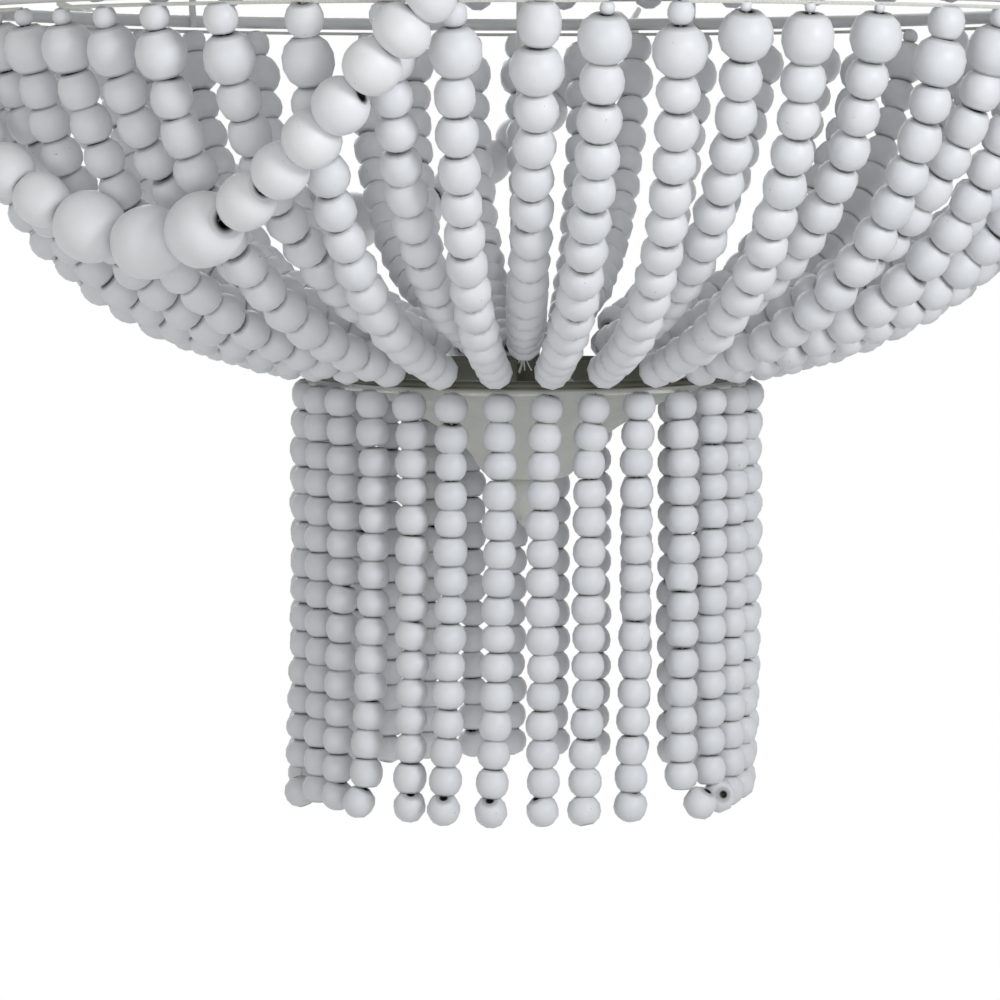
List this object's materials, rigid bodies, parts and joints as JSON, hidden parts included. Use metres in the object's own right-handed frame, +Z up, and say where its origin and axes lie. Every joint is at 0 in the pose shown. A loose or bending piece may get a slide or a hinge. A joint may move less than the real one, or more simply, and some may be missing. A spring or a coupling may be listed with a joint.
{
  "type": "beaded chandelier",
  "caption": "Ceiling chandelier of white painted wooden beads strung as a tent, a basket, swags and a straight fringe on a wire frame that hangs from a chain.",
  "frame": {"origin": "middle of the crossbar's top face, against the ceiling", "axes": "+Z up, -Y to the side that the picture is taken from, +X to that viewer's right"},
  "size_m": [0.6184, 0.6495, 0.8708],
  "materials": {
    "painted_beads": "satin white paint over turned wooden beads",
    "hub_paint": "satin off-white paint",
    "frame_paint": "satin white paint",
    "zinc_steel": "zinc plated",
    "socket_plastic": "moulded",
    "sleeve_card": "matte off-white sleeve",
    "bulb_glass": "frosted glass"
  },
  "bodies": {
    "ceiling_fitting": {"ceiling_crossbar": "zinc_steel", "ceiling_canopy": "frame_paint", "hanging_loop": "frame_paint"},
    "canopy_nut": {"canopy_nut": "frame_paint"},
    "chain_link_1": {"chain_link_1": "frame_paint"},
    "chain_link_2": {"chain_link_2": "frame_paint"},
    "chain_link_3": {"chain_link_3": "frame_paint"},
    "cage": {"top_loop": "frame_paint", "center_stem": "frame_paint", "crown_plate": "frame_paint", "main_ring": "frame_paint", "lower_ring": "hub_paint", "frame_rib_1": "frame_paint", "frame_rib_2": "frame_paint", "frame_rib_3": "frame_paint", "frame_rib_4": "frame_paint", "frame_rib_5": "frame_paint", "frame_rib_6": "frame_paint", "hub_cup": "hub_paint", "lamp_arm_1": "frame_paint", "lamp_arm_2": "frame_paint", "lamp_arm_3": "frame_paint", "drip_pan_1": "frame_paint", "drip_pan_2": "frame_paint", "drip_pan_3": "frame_paint", "lamp_socket_1": "socket_plastic", "lamp_socket_2": "socket_plastic", "lamp_socket_3": "socket_plastic", "candle_sleeve_1": "sleeve_card", "candle_sleeve_2": "sleeve_card", "candle_sleeve_3": "sleeve_card", "tent_strands_1": "painted_beads", "tent_strands_2": "painted_beads", "tent_strands_3": "painted_beads", "tent_strands_4": "painted_beads", "tent_strands_5": "painted_beads", "tent_strands_6": "painted_beads", "basket_strands_1": "painted_beads", "basket_strands_2": "painted_beads", "basket_strands_3": "painted_beads", "basket_strands_4": "painted_beads", "basket_strands_5": "painted_beads", "basket_strands_6": "painted_beads"},
    "finial": {"hub_finial": "hub_paint"},
    "bulb_1": {"lamp_bulb_1": "bulb_glass"},
    "bulb_2": {"lamp_bulb_2": "bulb_glass"},
    "bulb_3": {"lamp_bulb_3": "bulb_glass"},
    "swag_1": {"bead_swag_1": "painted_beads"},
    "swag_2": {"bead_swag_2": "painted_beads"},
    "swag_3": {"bead_swag_3": "painted_beads"},
    "fringe_1": {"fringe_strands_1": "painted_beads"},
    "fringe_2": {"fringe_strands_2": "painted_beads"},
    "fringe_3": {"fringe_strands_3": "painted_beads"},
    "fringe_4": {"fringe_strands_4": "painted_beads"},
    "fringe_5": {"fringe_strands_5": "painted_beads"},
    "fringe_6": {"fringe_strands_6": "painted_beads"},
    "fringe_7": {"fringe_strands_7": "painted_beads"},
    "fringe_8": {"fringe_strands_8": "painted_beads"},
    "fringe_9": {"fringe_strands_9": "painted_beads"},
    "fringe_10": {"fringe_strands_10": "painted_beads"}
  },
  "joints": [
    {"name": "canopy_nut_turn", "type": "hinge", "parent": "ceiling_fitting", "child": "canopy_nut", "pos_m": [0, 0, -0.0313], "axis": [0, 0, 1], "continuous": true},
    {"name": "link_1_swing", "type": "hinge", "parent": "ceiling_fitting", "child": "chain_link_1", "pos_m": [0, 0, -0.0726], "axis": [1, 0, 0], "range_deg": [-15, 15]},
    {"name": "link_2_swing", "type": "hinge", "parent": "chain_link_1", "child": "chain_link_2", "pos_m": [0, 0, -0.1098], "axis": [0, 1, 0], "range_deg": [-15, 15]},
    {"name": "link_3_swing", "type": "hinge", "parent": "chain_link_2", "child": "chain_link_3", "pos_m": [0, 0, -0.1475], "axis": [1, 0, 0], "range_deg": [-15, 15]},
    {"name": "cage_swing", "type": "hinge", "parent": "chain_link_3", "child": "cage", "pos_m": [0, 0, -0.1852], "axis": [0, 1, 0], "range_deg": [-15, 15]},
    {"name": "finial_turn", "type": "hinge", "parent": "cage", "child": "finial", "pos_m": [0, 0, -0.72], "axis": [0, 0, 1], "continuous": true},
    {"name": "bulb_1_lift", "type": "slide", "parent": "cage", "child": "bulb_1", "axis": [0, 0, 1], "range_m": [0, 0.022]},
    {"name": "bulb_2_lift", "type": "slide", "parent": "cage", "child": "bulb_2", "axis": [0, 0, 1], "range_m": [0, 0.022]},
    {"name": "bulb_3_lift", "type": "slide", "parent": "cage", "child": "bulb_3", "axis": [0, 0, 1], "range_m": [0, 0.022]},
    {"name": "swag_1_swing", "type": "hinge", "parent": "cage", "child": "swag_1", "pos_m": [-0.17233, -0.20178, -0.4648], "axis": [-0.7604, 0.6494, 0], "range_deg": [0, 35]},
    {"name": "swag_2_swing", "type": "hinge", "parent": "cage", "child": "swag_2", "pos_m": [0.26091, -0.04836, -0.4648], "axis": [-0.1822, -0.9833, 0], "range_deg": [0, 35]},
    {"name": "swag_3_swing", "type": "hinge", "parent": "cage", "child": "swag_3", "pos_m": [-0.08858, 0.25013, -0.4648], "axis": [0.9426, 0.3338, 0], "range_deg": [0, 35]},
    {"name": "fringe_1_swing", "type": "hinge", "parent": "cage", "child": "fringe_1", "pos_m": [0.0529, -0.09743, -0.6607], "axis": [-0.8788, -0.4772, 0], "range_deg": [-5, 20]},
    {"name": "fringe_2_swing", "type": "hinge", "parent": "cage", "child": "fringe_2", "pos_m": [0.10006, -0.04773, -0.6607], "axis": [-0.4305, -0.9026, 0], "range_deg": [-5, 20]},
    {"name": "fringe_3_swing", "type": "hinge", "parent": "cage", "child": "fringe_3", "pos_m": [0.10901, 0.0202, -0.6607], "axis": [0.1822, -0.9833, 0], "range_deg": [-5, 20]},
    {"name": "fringe_4_swing", "type": "hinge", "parent": "cage", "child": "fringe_4", "pos_m": [0.07631, 0.08042, -0.6607], "axis": [0.7254, -0.6884, 0], "range_deg": [-5, 20]},
    {"name": "fringe_5_swing", "type": "hinge", "parent": "cage", "child": "fringe_5", "pos_m": [0.01447, 0.10991, -0.6607], "axis": [0.9914, -0.1305, 0], "range_deg": [-5, 20]},
    {"name": "fringe_6_swing", "type": "hinge", "parent": "cage", "child": "fringe_6", "pos_m": [-0.0529, 0.09743, -0.6607], "axis": [0.8788, 0.4772, 0], "range_deg": [-5, 20]},
    {"name": "fringe_7_swing", "type": "hinge", "parent": "cage", "child": "fringe_7", "pos_m": [-0.10006, 0.04773, -0.6607], "axis": [0.4305, 0.9026, 0], "range_deg": [-5, 20]},
    {"name": "fringe_8_swing", "type": "hinge", "parent": "cage", "child": "fringe_8", "pos_m": [-0.10901, -0.0202, -0.6607], "axis": [-0.1822, 0.9833, 0], "range_deg": [-5, 20]},
    {"name": "fringe_9_swing", "type": "hinge", "parent": "cage", "child": "fringe_9", "pos_m": [-0.07631, -0.08042, -0.6607], "axis": [-0.7254, 0.6884, 0], "range_deg": [-5, 20]},
    {"name": "fringe_10_swing", "type": "hinge", "parent": "cage", "child": "fringe_10", "pos_m": [-0.01447, -0.10991, -0.6607], "axis": [-0.9914, 0.1305, 0], "range_deg": [-5, 20]}
  ]
}
